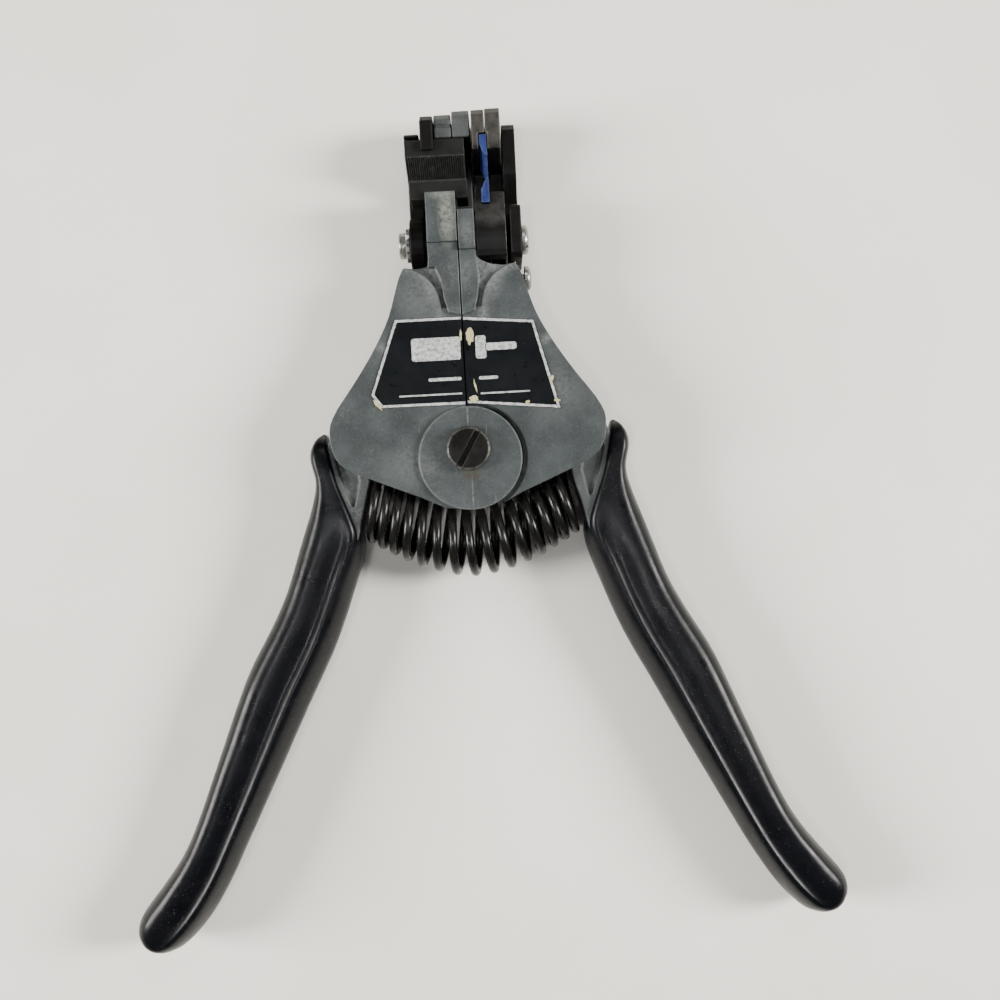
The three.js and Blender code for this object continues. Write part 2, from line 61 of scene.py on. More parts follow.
SIDES = {"gripper": -1, "cutter": 1}
BODY_OF = {
    node: body for body, nodes in frame["record"]["behaviour"]["bodies"].items() for node in nodes
}


def box_mm(node):
    low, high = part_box(node)
    return low / MM, high / MM


LABEL_FRONT = box_mm("gripper_label_half")[1].z
SCREW_LOW, SCREW_HIGH = box_mm("main_pivot_screw")
SLEEVE_LOW, SLEEVE_HIGH = box_mm("cutter_handle_sleeve")
UPPER_PAD_LOW, UPPER_PAD_HIGH = box_mm("gripper_upper_pad")
LOWER_PAD_LOW, LOWER_PAD_HIGH = box_mm("gripper_lower_pad")


# ---------------------------------------------------------------- camera, floor and lights

CAMERA_OVER = Vector((6.2, -11.5, 300)) * MM
CAMERA_TURN = math.radians(-3)
SENSOR = 36
LENS = 46.27
CLIP_START = 0.01
# Name, place, width and length, watts and colour of each lamp. All of them face the origin.
LAMPS = [
    ("key_panel", (0.25, 0.75, 1.0), (0.6, 0.4), 3, (1, 0.985, 0.96)),
    ("left_panel", (-1.1, 0.0, 0.62), (0.45, 0.6), 36, (1, 0.98, 0.95)),
    ("right_panel", (1.0, 0.05, 0.68), (0.28, 0.45), 32, (1, 0.98, 0.95)),
    ("left_gleam", (-0.17, -0.16, 1.0), (0.09, 0.09), 2.4, (1, 1, 1)),
    ("right_gleam", (0.15, -0.13, 1.0), (0.07, 0.07), 0.6, (1, 1, 1)),
]
# The room's glow fades from its walls to its ceiling.
WALL_HEIGHT, WALL_GLOW = 0.3, 0.12
CEILING_HEIGHT, CEILING_GLOW = 0.95, 0.04
ROOM_COLOUR = (0.95, 0.95, 0.95, 1)
FLOOR_SIZE = 3
FLOOR_GAP = 0.05


def make_camera():
    camera = bpy.data.cameras.new("camera")
    camera.sensor_width = SENSOR
    camera.lens = LENS
    camera.clip_start = CLIP_START
    camera_object = bpy.data.objects.new("camera", camera)
    camera_object.location = CAMERA_OVER
    camera_object.rotation_euler = (0, 0, CAMERA_TURN)
    bpy.context.scene.collection.objects.link(camera_object)
    bpy.context.scene.camera = camera_object


def make_light(name, place, size, watts, colour):
    light = bpy.data.lights.new(name, "AREA")
    light.shape = "RECTANGLE"
    light.size, light.size_y = size
    light.energy = watts
    light.color = colour
    light_object = bpy.data.objects.new(name, light)
    light_object.location = place
    light_object.rotation_euler = (-Vector(place)).to_track_quat("-Z", "Y").to_euler()
    bpy.context.scene.collection.objects.link(light_object)


def make_studio():
    for lamp in LAMPS:
        make_light(*lamp)
    world = bpy.data.worlds.new("soft_room")
    world.use_nodes = True
    tree = world.node_tree
    direction = tree.nodes.new("ShaderNodeTexCoord").outputs["Generated"]
    split = tree.nodes.new("ShaderNodeSeparateXYZ")
    overhead = tree.nodes.new("ShaderNodeMapRange")
    overhead.inputs["From Min"].default_value = WALL_HEIGHT
    overhead.inputs["From Max"].default_value = CEILING_HEIGHT
    overhead.inputs["To Min"].default_value = WALL_GLOW
    overhead.inputs["To Max"].default_value = CEILING_GLOW
    tree.links.new(direction, split.inputs["Vector"])
    tree.links.new(split.outputs["Z"], overhead.inputs["Value"])
    tree.links.new(overhead.outputs["Result"], tree.nodes["Background"].inputs["Strength"])
    tree.nodes["Background"].inputs["Color"].default_value = ROOM_COLOUR
    bpy.context.scene.world = world
    bpy.ops.mesh.primitive_plane_add(size=FLOOR_SIZE, location=(0, 0, -FLOOR_GAP * MM))
    floor = bpy.context.object
    floor.name = "floor"
    floor.data.materials.append(floor_material())


# ---------------------------------------------------------------- materials

BEVEL_SAMPLES = 6


class Surface:
    """A node material: a Principled shader and short calls for the nodes that feed it."""

    def __init__(self, name, **sockets):
        self.material = bpy.data.materials.new(name)
        self.material.use_nodes = True
        self.tree = self.material.node_tree
        self.shader = self.tree.nodes["Principled BSDF"]
        for socket, value in sockets.items():
            self.shader.inputs[socket.replace("_", " ")].default_value = value
        self.where = self.node("ShaderNodeTexCoord").outputs["Object"]

    def node(self, kind, **settings):
        node = self.tree.nodes.new(kind)
        for setting, value in settings.items():
            setattr(node, setting, value)
        return node

    def join(self, source, target):
        self.tree.links.new(source, target)

    def stretched(self, stretch, turn=0):
        mapping = self.node("ShaderNodeMapping")
        mapping.inputs["Scale"].default_value = stretch
        mapping.inputs["Rotation"].default_value = (0, 0, turn)
        self.join(self.where, mapping.inputs["Vector"])
        return mapping.outputs["Vector"]

    def along(self, axis):
        """The place along one axis of the row frame, in metres."""
        split = self.node("ShaderNodeSeparateXYZ")
        self.join(self.where, split.inputs["Vector"])
        return split.outputs[axis]

    def noise(self, size_mm, detail=4, roughness=0.55, where=None):
        node = self.node("ShaderNodeTexNoise")
        node.inputs["Scale"].default_value = 1 / (size_mm * MM)
        node.inputs["Detail"].default_value = detail
        node.inputs["Roughness"].default_value = roughness
        self.join(where or self.where, node.inputs["Vector"])
        return node.outputs["Fac"]

    def patches(self, size_mm, low, high, detail=5, roughness=0.65, where=None):
        """Noise cut to patches: 0 under low, 1 over high."""
        return self.band(self.noise(size_mm, detail, roughness, where), low, high)

    def band(self, value, low, high, start=0.0, end=1.0):
        node = self.node("ShaderNodeMapRange")
        node.inputs["From Min"].default_value = low
        node.inputs["From Max"].default_value = high
        node.inputs["To Min"].default_value = start
        node.inputs["To Max"].default_value = end
        self.join(value, node.inputs["Value"])
        return node.outputs["Result"]

    def math(self, operation, first, second):
        node = self.node("ShaderNodeMath", operation=operation)
        for index, value in enumerate((first, second)):
            if isinstance(value, (int, float)):
                node.inputs[index].default_value = value
            else:
                self.join(value, node.inputs[index])
        return node.outputs["Value"]

    def times(self, first, second):
        return self.math("MULTIPLY", first, second)

    def mix(self, share, first, second):
        node = self.node("ShaderNodeMix", data_type="RGBA")
        self.join(share, node.inputs["Factor"])
        for socket, value in (("A", first), ("B", second)):
            target = [s for s in node.inputs if s.name == socket and s.type == "RGBA"][0]
            if isinstance(value, tuple):
                target.default_value = (*value, 1)
            else:
                self.join(value, target)
        return [s for s in node.outputs if s.type == "RGBA"][0]

    def spot(self, base, colour, centre_mm, size_mm, grain_mm=0.8):
        """A patchy colour over a base, about a centre in the row frame, for stains, rubbed places and
        patches of painted light.
        """
        away = self.node("ShaderNodeVectorMath", operation="SUBTRACT")
        away.inputs[1].default_value = Vector(centre_mm) * MM
        self.join(self.where, away.inputs[0])
        scaled = self.node("ShaderNodeVectorMath", operation="DIVIDE")
        scaled.inputs[1].default_value = Vector(size_mm) * MM
        self.join(away.outputs["Vector"], scaled.inputs[0])
        length = self.node("ShaderNodeVectorMath", operation="LENGTH")
        self.join(scaled.outputs["Vector"], length.inputs[0])
        near = self.band(length.outputs["Value"], 0.35, 1.0, 1.0, 0.0)
        return self.mix(self.times(near, self.patches(grain_mm, 0.32, 0.6, 5, 0.75)), base, colour)

    def ring(self, base, colour, centre_mm, radius_mm, width_mm):
        """A broken line of a colour over a base, round a circle seen along Z, for rubbed wear and for
        painted light and highlights.
        """
        away = self.node("ShaderNodeVectorMath", operation="SUBTRACT")
        away.inputs[1].default_value = Vector((*centre_mm, 0)) * MM
        self.join(self.where, away.inputs[0])
        flattened = self.node("ShaderNodeVectorMath", operation="MULTIPLY")
        flattened.inputs[1].default_value = (1, 1, 0)
        self.join(away.outputs["Vector"], flattened.inputs[0])
        length = self.node("ShaderNodeVectorMath", operation="LENGTH")
        self.join(flattened.outputs["Vector"], length.inputs[0])
        off = self.node("ShaderNodeMath", operation="ABSOLUTE")
        self.join(self.math("SUBTRACT", length.outputs["Value"], radius_mm * MM), off.inputs[0])
        near = self.band(off.outputs["Value"], 0, width_mm * MM, 1.0, 0.0)
        return self.mix(self.times(near, self.patches(0.7, 0.36, 0.58, 5, 0.75)), base, colour)

    def edge_wear(self, radius_mm, low=0.01, high=0.25):
        """1 on sharp edges and 0 on flats, broken up by noise."""
        bevel = self.node("ShaderNodeBevel", samples=BEVEL_SAMPLES)
        bevel.inputs["Radius"].default_value = radius_mm * MM
        flat = self.node("ShaderNodeNewGeometry").outputs["Normal"]
        dot = self.node("ShaderNodeVectorMath", operation="DOT_PRODUCT")
        self.join(bevel.outputs["Normal"], dot.inputs[0])
        self.join(flat, dot.inputs[1])
        turned = self.math("SUBTRACT", 1.0, dot.outputs["Value"])
        sharp = self.band(turned, low, high)
        patchy = self.band(self.noise(1.6, 5, 0.7), 0.38, 0.62, 0.25, 1.0)
        return self.times(sharp, patchy)

    def bump(self, height, distance_mm, strength=1.0, rounding_mm=0):
        """Fine relief, over edges that catch the light as if rounded."""
        node = self.node("ShaderNodeBump")
        if rounding_mm:
            rounded = self.node("ShaderNodeBevel", samples=BEVEL_SAMPLES)
            rounded.inputs["Radius"].default_value = rounding_mm * MM
            self.join(rounded.outputs["Normal"], node.inputs["Normal"])
        node.inputs["Distance"].default_value = distance_mm * MM
        node.inputs["Strength"].default_value = strength
        self.join(height, node.inputs["Height"])
        self.join(node.outputs["Normal"], self.shader.inputs["Normal"])

    def colour(self, value):
        self.join(value, self.shader.inputs["Base Color"])

    def roughness(self, value):
        self.join(value, self.shader.inputs["Roughness"])


def floor_material():
    surface = Surface("floor_paper", Specular_IOR_Level=0.25)
    mottle = surface.band(surface.noise(90, 3), 0.35, 0.65)
    surface.colour(surface.mix(mottle, (0.71, 0.695, 0.635), (0.77, 0.755, 0.70)))
    surface.roughness(surface.band(surface.noise(4, 2), 0, 1, 0.6, 0.75))
    return surface.material


# Black that the casting's colour fades to below a given height.
DEPTH_BLACK = (0.006, 0.006, 0.0065)


def zinc_material(name, dark, light, worn, pale_share, spots=(), rings=(), darker_below_mm=None):
    """Blue-grey die casting: cloudy, speckled, with pale rubbed patches, grime and worn edges."""
    surface = Surface(name, Metallic=0.15, Specular_IOR_Level=0.3)
    cloud = surface.patches(9, 0.36, 0.66, 5, 0.6)
    clouded = surface.mix(surface.times(cloud, 0.8), dark, light)
    grain = surface.times(surface.patches(0.6, 0.45, 0.70, 6, 0.8), 0.3)
    base = surface.mix(grain, clouded, tuple(1.5 * tone for tone in light))
    rubbed = surface.times(surface.patches(12, 0.5, 0.68), surface.patches(0.9, 0.42, 0.66, 4, 0.8))
    paled = surface.mix(surface.times(rubbed, pale_share), base, worn)
    specks = surface.times(surface.patches(0.35, 0.64, 0.74, 3, 0.6), 0.4)
    speckled = surface.mix(specks, paled, worn)
    grime = surface.times(surface.patches(3, 0.60, 0.75, 6, 0.75), 0.45)
    dirty = surface.mix(grime, speckled, (0.035, 0.038, 0.036))
    streaks = surface.stretched((1, 0.06, 1), 0.7)
    scratched = surface.times(surface.patches(0.5, 0.70, 0.76, 2, 0.5, streaks), 0.3)
    marked = surface.mix(scratched, dirty, worn)
    for colour, centre_mm, size_mm in spots:
        marked = surface.spot(marked, colour, centre_mm, size_mm)
    for colour, centre_mm, radius_mm, width_mm in rings:
        marked = surface.ring(marked, colour, centre_mm, radius_mm, width_mm)
    coloured = surface.mix(surface.times(surface.edge_wear(0.45), 0.45), marked, worn)
    # Below a given height, towards the back, the colour is darkened towards black.
    if darker_below_mm is not None:
        height = surface.along("Z")
        deep = surface.band(height, (darker_below_mm - 2) * MM, darker_below_mm * MM, 0.9, 0.0)
        coloured = surface.mix(deep, coloured, DEPTH_BLACK)
    surface.colour(coloured)
    surface.roughness(surface.band(surface.noise(3, 5, 0.65), 0.3, 0.7, 0.38, 0.6))
    rough_cast = surface.math("ADD", surface.noise(0.5, 3), surface.times(cloud, 0.8))
    surface.bump(rough_cast, 0.035, rounding_mm=0.5)
    return surface.material


def steel_material(name, dark, light, worn, rough, metallic=0.85, shine=0.5, rings=()):
    surface = Surface(name, Metallic=metallic, Specular_IOR_Level=shine)
    cloud = surface.patches(2.6, 0.35, 0.65)
    lines = surface.noise(0.35, 3, 0.6, surface.stretched((1, 0.12, 0.12)))
    base = surface.mix(cloud, dark, light)
    for colour, centre_mm, radius_mm, width_mm in rings:
        base = surface.ring(base, colour, centre_mm, radius_mm, width_mm)
    surface.colour(surface.mix(surface.edge_wear(0.28), base, worn))
    surface.roughness(surface.band(lines, 0.3, 0.7, rough - 0.08, rough + 0.1))
    surface.bump(lines, 0.012, rounding_mm=0.25)
    return surface.material


BARE_FADE = 1.1


def two_tone_steel(name, black, brown, worn, bare_from_mm):
    """Blackened steel, rubbed brown and bare from a place along the tool up to its end."""
    surface = Surface(name, Metallic=0.4, Specular_IOR_Level=0.3)
    wander = surface.band(surface.noise(2.2, 4, 0.6), 0, 1, -1.2 * MM, 1.2 * MM)
    height = surface.math("ADD", surface.along("Y"), wander)
    above = surface.band(height, (bare_from_mm - BARE_FADE) * MM, (bare_from_mm + BARE_FADE) * MM)
    bare = surface.times(above, surface.patches(1.4, 0.2, 0.5, 5, 0.7))
    cloud = surface.patches(2.2, 0.35, 0.65, 5, 0.7)
    rubbed = surface.mix(cloud, brown, tuple(1.6 * c for c in brown))
    base = surface.mix(bare, black, rubbed)
    surface.colour(surface.mix(surface.edge_wear(0.28), base, worn))
    surface.roughness(surface.band(surface.noise(1.2, 4, 0.6), 0.3, 0.7, 0.34, 0.52))
    surface.bump(surface.noise(0.6, 4), 0.02, rounding_mm=0.3)
    return surface.material


def vinyl_material():
    surface = Surface("black_vinyl", Specular_IOR_Level=0.15)
    scuffs = surface.patches(0.9, 0.62, 0.8, 6, 0.8, surface.stretched((1, 0.3, 1), 0.5))
    dust = surface.patches(14, 0.45, 0.75, 5, 0.7)
    base = surface.mix(surface.times(dust, 0.5), (0.0018, 0.002, 0.003), (0.004, 0.0044, 0.006))
    specks = surface.times(surface.patches(0.28, 0.66, 0.74, 2, 0.5), surface.patches(9, 0.42, 0.58))
    scuffed = surface.mix(surface.times(scuffs, 0.25), base, (0.03, 0.032, 0.036))
    surface.colour(surface.mix(surface.times(specks, 0.5), scuffed, (0.16, 0.16, 0.16)))
    gloss = surface.band(surface.noise(5, 5, 0.6), 0.3, 0.75, 0.26, 0.40)
    surface.roughness(surface.math("ADD", gloss, surface.times(scuffs, 0.2)))
    orange_peel = surface.math("ADD", surface.noise(2.5, 2), surface.times(scuffs, -0.2))
    surface.bump(orange_peel, 0.1, 0.5)
    return surface.material


def label_material():
    surface = Surface("label_foil", Specular_IOR_Level=0.1)
    worn = surface.times(surface.patches(0.5, 0.70, 0.76, 5, 0.7), 0.6)
    base = surface.mix(surface.patches(6, 0.3, 0.7), (0.002, 0.0028, 0.0035), (0.005, 0.006, 0.007))
    surface.colour(surface.mix(worn, base, (0.35, 0.35, 0.32)))
    surface.roughness(surface.band(surface.noise(2, 4), 0.3, 0.7, 0.26, 0.42))
    surface.bump(surface.noise(2.5, 3), 0.03)
    return surface.material


def silver_material():
    surface = Surface("label_silver", Metallic=0.1)
    worn = surface.patches(0.7, 0.44, 0.62, 6, 0.8)
    surface.colour(surface.mix(worn, (0.44, 0.45, 0.445), (0.12, 0.125, 0.12)))
    surface.roughness(surface.band(surface.noise(0.6, 3), 0.3, 0.7, 0.35, 0.6))
    return surface.material


def adhesive_material():
    surface = Surface("old_adhesive", Specular_IOR_Level=0.3)
    tone = surface.patches(0.7, 0.35, 0.65, 5, 0.7)
    surface.colour(surface.mix(tone, (0.30, 0.26, 0.12), (0.44, 0.40, 0.235)))
    surface.roughness(surface.band(surface.noise(0.5, 3), 0.3, 0.7, 0.55, 0.8))
    surface.bump(surface.noise(0.4, 4), 0.05)
    return surface.material


# Dark, light and worn tones of each metal. A spot has a colour, a centre and half sizes; a ring has
# a colour, a centre, a radius and a half width.
ZINC_TONES = ((0.0195, 0.024, 0.0243), (0.047, 0.0545, 0.055), (0.19, 0.2, 0.195))
GRIPPER_SPOTS = [
    ((0.15, 0.16, 0.135), (-2.2, 50.5, 21), (2.3, 7.5, 6)),
    ((0.13, 0.137, 0.12), (-3.0, 55.5, 21), (4, 1.4, 6)),
    ((0.035, 0.026, 0.015), (0.4, -5.6, 20), (2.6, 1.6, 6)),
    ((0.066, 0.073, 0.072), (-13, -3, 19), (7, 6, 6)),
    ((0.07, 0.077, 0.076), (-9, 34, 19), (7, 7, 6)),
    # Painted light: lightens the valley floor beside the spine, over the shade of its walls.
    ((0.16, 0.17, 0.168), (-5.6, 37.4, 18), (3.4, 7.5, 2.5)),
    ((0.11, 0.115, 0.11), (0.1, 7.6, 20), (0.25, 3.4, 6)),
    ((0.11, 0.115, 0.11), (0.4, -9.8, 20), (0.25, 4.4, 6)),
]
CUTTER_SPOTS = [
    # Painted light: lightens the valley floor beside the spine, over the shade of its walls.
    ((0.16, 0.17, 0.168), (5.8, 38.0, 18), (5, 8, 2.5)),
    ((0.085, 0.092, 0.09), (2.0, 47, 21), (2, 4, 6)),
    ((0.066, 0.073, 0.072), (19, 12, 19), (8, 7, 6)),
]
# The valleys' rims beside the spine are rubbed pale, and lightened as painted light over their walls'
# shade.
GRIPPER_RINGS = [
    # Rubbed wear and painted light along the gripper's valley rim.
    ((0.10, 0.107, 0.104), (-13.6, 31), 9.0, 1.5),
    # Painted highlight along the edge of the pivot boss.
    ((0.10, 0.107, 0.104), (0.3, -2), 11.2, 0.35),
]
# Rubbed wear and painted light along the cutter's valley rim.
CUTTER_RINGS = [((0.12, 0.128, 0.124), (13.6, 31), 9.0, 1.6)]
GRIPPER_ZINC = zinc_material("gripper_zinc", *ZINC_TONES, 0.3, GRIPPER_SPOTS, GRIPPER_RINGS)
CUTTER_ZINC = zinc_material("cutter_zinc", *ZINC_TONES, 0.3, CUTTER_SPOTS, CUTTER_RINGS)
HANDLE_TONES = ((0.035, 0.039, 0.039), (0.065, 0.071, 0.071), (0.2, 0.21, 0.2))
HANDLE_ZINC = zinc_material("handle_zinc", *HANDLE_TONES, 0.8)
WORN_TONES = ((0.03, 0.034, 0.033), (0.055, 0.061, 0.06), (0.2, 0.21, 0.195))
WORN_ZINC = zinc_material("worn_casting", *WORN_TONES, 0.6, darker_below_mm=13)
DARK_STEEL = steel_material(
    "dark_steel", (0.0015, 0.0015, 0.0014), (0.004, 0.0038, 0.0035), (0.05, 0.048, 0.044), 0.5, 0, 0.1,
)
PAD_STEEL = steel_material(
    "pad_steel", (0.0045, 0.0048, 0.0045), (0.009, 0.0095, 0.0088), (0.09, 0.09, 0.085), 0.55, 0, 0.12,
)
RIM_RING = ((0.11, 0.107, 0.098), (0, 0), 4.5, 0.4)
SCREW_STEEL = steel_material(
    "screw_steel", (0.0025, 0.0024, 0.0022), (0.009, 0.0086, 0.0077), (0.12, 0.116, 0.106), 0.45, 0.5, 0.2,
    [RIM_RING],
)
BRIGHT_STEEL = steel_material(
    "bright_steel", (0.16, 0.16, 0.15), (0.40, 0.40, 0.38), (0.6, 0.6, 0.57), 0.3,
)
OILED_STEEL = steel_material(
    "oiled_steel", (0.004, 0.0039, 0.0038), (0.01, 0.0096, 0.0092), (0.03, 0.029, 0.027), 0.27, 0.3, 0.3,
)
BLUE_STEEL = steel_material(
    "blue_steel", (0.009, 0.016, 0.075), (0.022, 0.038, 0.135), (0.12, 0.15, 0.30), 0.45, 0.1, 0.2,
)
HOLDER_TONES = ((0.0022, 0.0021, 0.002), (0.032, 0.0305, 0.027), (0.19, 0.182, 0.165))
HOLDER_TOP = two_tone_steel("holder_steel", *HOLDER_TONES, 67.3)
LOW_HOLDER_TONES = ((0.0022, 0.0021, 0.002), (0.021, 0.0205, 0.019), (0.17, 0.165, 0.15))
HOLDER_LOW = two_tone_steel("holder_low_steel", *LOW_HOLDER_TONES, 49.0)
VINYL = vinyl_material()
LABEL = label_material()
SILVER = silver_material()
ADHESIVE = adhesive_material()

SLOT_LOOKS = {
    "zinc_casting": CUTTER_ZINC,
    "worn_casting": WORN_ZINC,
    "dark_steel": DARK_STEEL,
    "brown_steel": HOLDER_TOP,
    "bright_steel": BRIGHT_STEEL,
    "oiled_steel": OILED_STEEL,
    "vinyl": VINYL,
    "blue_steel": BLUE_STEEL,
    "label": LABEL,
}

NODE_LOOKS = {
    "gripper_frame": GRIPPER_ZINC,
    "gripper_handle_casting": HANDLE_ZINC,
    "cutter_handle_casting": HANDLE_ZINC,
    "main_pivot_nut": SCREW_STEEL,
    "cutter_lower_holder": HOLDER_LOW,
}


# ---------------------------------------------------------------- nodes that show as designed

# Bevel widths of the nodes whose edges are broken by real faces.
EDGE_WIDTHS = {
    "gripper_handle_casting": 0.3,
    "cutter_handle_casting": 0.3,
    "gripper_jaw_lever": 0.35,
    "cutter_inner_plate": 0.3,
    "cutter_outer_plate": 0.3,
    "cutter_guard_plate": 0.35,
    "gripper_side_plate": 0.35,
    "gripper_pad_clip": 0.4,
    "main_pivot_nut": 0.2,
}
WELD_DISTANCE = 0.002
FLAT_ANGLE = math.radians(1)
EDGE_ANGLE = math.radians(30)
EDGE_SEGMENTS = 3


def soften(node_object, width_mm):
    """Clean flats and rounded edges, as modifiers over the node's own mesh."""
    weld = node_object.modifiers.new("weld", "WELD")
    weld.merge_threshold = WELD_DISTANCE * MM
    flats = node_object.modifiers.new("flats", "DECIMATE")
    flats.decimate_type = "DISSOLVE"
    flats.angle_limit = FLAT_ANGLE
    edges = node_object.modifiers.new("edges", "BEVEL")
    edges.width = width_mm * MM
    edges.segments = EDGE_SEGMENTS
    edges.limit_method = "ANGLE"
    edges.angle_limit = EDGE_ANGLE
    edges.use_clamp_overlap = False


def dress_nodes():
    slots = {row["node"]: row["material_slot"] for row in frame["record"]["subparts"]}
    for name, node_object in NODES.items():
        look = NODE_LOOKS.get(name, SLOT_LOOKS[slots[name]])
        node_object.data.materials.clear()
        node_object.data.materials.append(look)
        if name in EDGE_WIDTHS:
            soften(node_object, EDGE_WIDTHS[name])


# ---------------------------------------------------------------- new pieces

SMOOTH_ANGLE = math.radians(35)


def make_piece(name, points_mm, faces, look):
    mesh = bpy.data.meshes.new(name)
    mesh.from_pydata([Vector(point) * MM for point in points_mm], [], faces)
    shape = bmesh.new()
    shape.from_mesh(mesh)
    bmesh.ops.recalc_face_normals(shape, faces=shape.faces)
    shape.to_mesh(mesh)
    shape.free()
    mesh.shade_smooth()
    mesh.set_sharp_from_angle(angle=SMOOTH_ANGLE)
    mesh.materials.append(look)
    piece = bpy.data.objects.new(name, mesh)
    bpy.context.scene.collection.objects.link(piece)
    return piece


def loft(rings):
    """Points and faces of a closed skin over rings of equally many points."""
    count = len(rings[0])
    points = [point for ring in rings for point in ring]
    faces = [tuple(range(count)), tuple(range(len(points) - count, len(points)))]
    for ring in range(len(rings) - 1):
        for corner in range(count):
            near = ring * count + corner
            next_near = ring * count + (corner + 1) % count
            faces.append((near, next_near, next_near + count, near + count))
    return points, faces


def spline(points, steps):
    """Places on a smooth curve through the given vectors, steps to each stretch."""
    ends = [2 * points[0] - points[1], *points, 2 * points[-1] - points[-2]]
    places = []
    for before, start, end, after in zip(ends, ends[1:], ends[2:], ends[3:]):
        for step in range(steps):
            t = step / steps
            places.append(
                start
                + 0.5 * t * (end - before)
                + t ** 2 * (before - 2.5 * start + 2 * end - 0.5 * after)
                + t ** 3 * (1.5 * (start - end) + 0.5 * (after - before))
            )
    return [*places, points[-1]]


def smoothstep(value, low, high):
    share = min(1.0, max(0.0, (value - low) / (high - low)))
    return share * share * (3 - 2 * share)


# ---------------------------------------------------------------- sleeves

SLEEVE_INSET = 0.15
SLEEVE_MIDDLE = (SLEEVE_LOW.z + SLEEVE_HIGH.z) / 2
SLEEVE_HALF = (SLEEVE_HIGH.z - SLEEVE_LOW.z) / 2 - SLEEVE_INSET
THINNEST = 0.05

# Stations down the cutter side's sleeve: the outer edge, the inner edge, and the share of the
# full thickness there. The first five run along the slanted mouth.
SLEEVE_STATIONS = [
    ((32.7, 5.35), (32.1, 5.15), 0.30),
    ((34.2, 4.2), (31.7, 3.6), 0.72),
    ((35.4, 2.2), (31.1, 1.4), 0.92),
    ((35.8, -0.5), (30.3, -2.6), 0.99),
    ((34.9, -5.5), (29.2, -6.9), 1),
    ((36.0, -10.5), (26.6, -13.8), 1),
    ((39.0, -19.0), (24.8, -20.6), 1),
    ((42.8, -29.8), (28.2, -31.6), 1),
    ((46.6, -37.5), (32.8, -43.0), 1),
    ((52.5, -48.0), (39.0, -55.0), 1),
    ((58.6, -63.0), (46.5, -69.9), 1),
    ((65.0, -79.2), (54.3, -85.2), 0.99),
    ((69.1, -87.5), (59.0, -94.3), 0.98),
    ((74.0, -94.2), (63.9, -101.9), 0.97),
    ((78.5, -99.8), (68.8, -107.1), 0.92),
    ((79.9, -103.2), (72.4, -109.0), 0.82),
    ((79.5, -105.6), (75.1, -109.1), 0.66),
    ((78.5, -107.1), (76.8, -108.5), 0.4),
]

# Front half of a cross-section from the outer to the inner edge: place across, and height.
GRIP_PROFILE = [
    (-1, 0), (-0.985, 0.28), (-0.94, 0.52), (-0.86, 0.73), (-0.74, 0.88), (-0.58, 0.96), (-0.38, 0.985),
    (-0.14, 0.955), (0.06, 0.905), (0.22, 0.875), (0.35, 0.895), (0.46, 0.925), (0.58, 0.88),
    (0.73, 0.71), (0.87, 0.47), (0.97, 0.22), (1, 0),
]
MOUTH_PROFILE = [
    (-1, 0), (-0.985, 0.28), (-0.93, 0.53), (-0.83, 0.74), (-0.70, 0.88), (-0.54, 0.96), (-0.30, 0.995),
    (0, 1), (0.22, 1), (0.42, 0.995), (0.58, 0.99), (0.72, 0.975), (0.84, 0.94), (0.92, 0.88),
    (0.97, 0.78), (1, 0.55), (1, 0),
]
STATION_STEPS = 7
PROFILE_STEPS = 3
# Stations between which the mouth's section becomes the grip's, and the grip's becomes a dome.
GRIP_STARTS = (5, 6.8)
TIP_ROUNDS = (13, 16)
DOME_POWER = 2.4
# The cutter side's sleeve lies a little further out at its foot, and stops short of its twin:
# the stations between which each shift comes in, and the shift.
SLEEVE_SHIFTS = {
    "gripper": [],
    "cutter": [((9, 13), Vector((0.62, 0.6, 0))), ((12, 16), Vector((-0.95, 1.0, 0)))],
}
RIPPLE_MM = 0.16
RIPPLE_LENGTH_MM = 9


def sleeve_rings(name):
    side = SIDES[name]
    outer = spline([Vector((*place, share)) for place, _, share in SLEEVE_STATIONS], STATION_STEPS)
    inner = spline([Vector((*place, share)) for _, place, share in SLEEVE_STATIONS], STATION_STEPS)
    grip = spline([Vector(place) for place in GRIP_PROFILE], PROFILE_STEPS)
    mouth = spline([Vector(place) for place in MOUTH_PROFILE], PROFILE_STEPS)
    rings = []
    for index, (out, far) in enumerate(zip(outer, inner)):
        station = index / STATION_STEPS
        gripped = smoothstep(station, *GRIP_STARTS)
        rounded = smoothstep(station, *TIP_ROUNDS)
        front = [gripped * g + (1 - gripped) * m for g, m in zip(grip, mouth)]
        front = [(across, (1 - rounded) * height + rounded * dome(across)) for across, height in front]
        thickness = SLEEVE_HALF * max(THINNEST, min(out.z, 1))
        for stations, shift in SLEEVE_SHIFTS[name]:
            out = out + smoothstep(station, *stations) * shift
            far = far + smoothstep(station, *stations) * shift
        ring = []
        for across, height in front:
            ring.append(sleeve_point(out, far, across, height * thickness, side))
        for across, height in front[-2:0:-1]:
            ring.append(sleeve_point(out, far, across, -height * thickness, side))
        rings.append(ring)
    return rings


def dome(across):
    """Height of a full, round section at a place across it."""
    return (1 - min(1, abs(across)) ** DOME_POWER) ** (1 / DOME_POWER)


def sleeve_point(out, far, across, height, side):
    middle = (out + far) / 2
    half = (far - out) / 2
    x = middle.x + across * half.x
    y = middle.y + across * half.y
    ripple = RIPPLE_MM * noise.noise(Vector((x, y, height)) / RIPPLE_LENGTH_MM)
    return side * x, y, SLEEVE_MIDDLE + height * (1 + (ripple - RIPPLE_MM / 2) / SLEEVE_HALF)


def make_sleeves():
    for name in SIDES:
        points, faces = loft(sleeve_rings(name))
        sleeve = make_piece(f"{name}_sleeve_skin", points, faces, VINYL)
        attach(sleeve, f"{name}_handle")
        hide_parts(f"{name}_handle_sleeve")


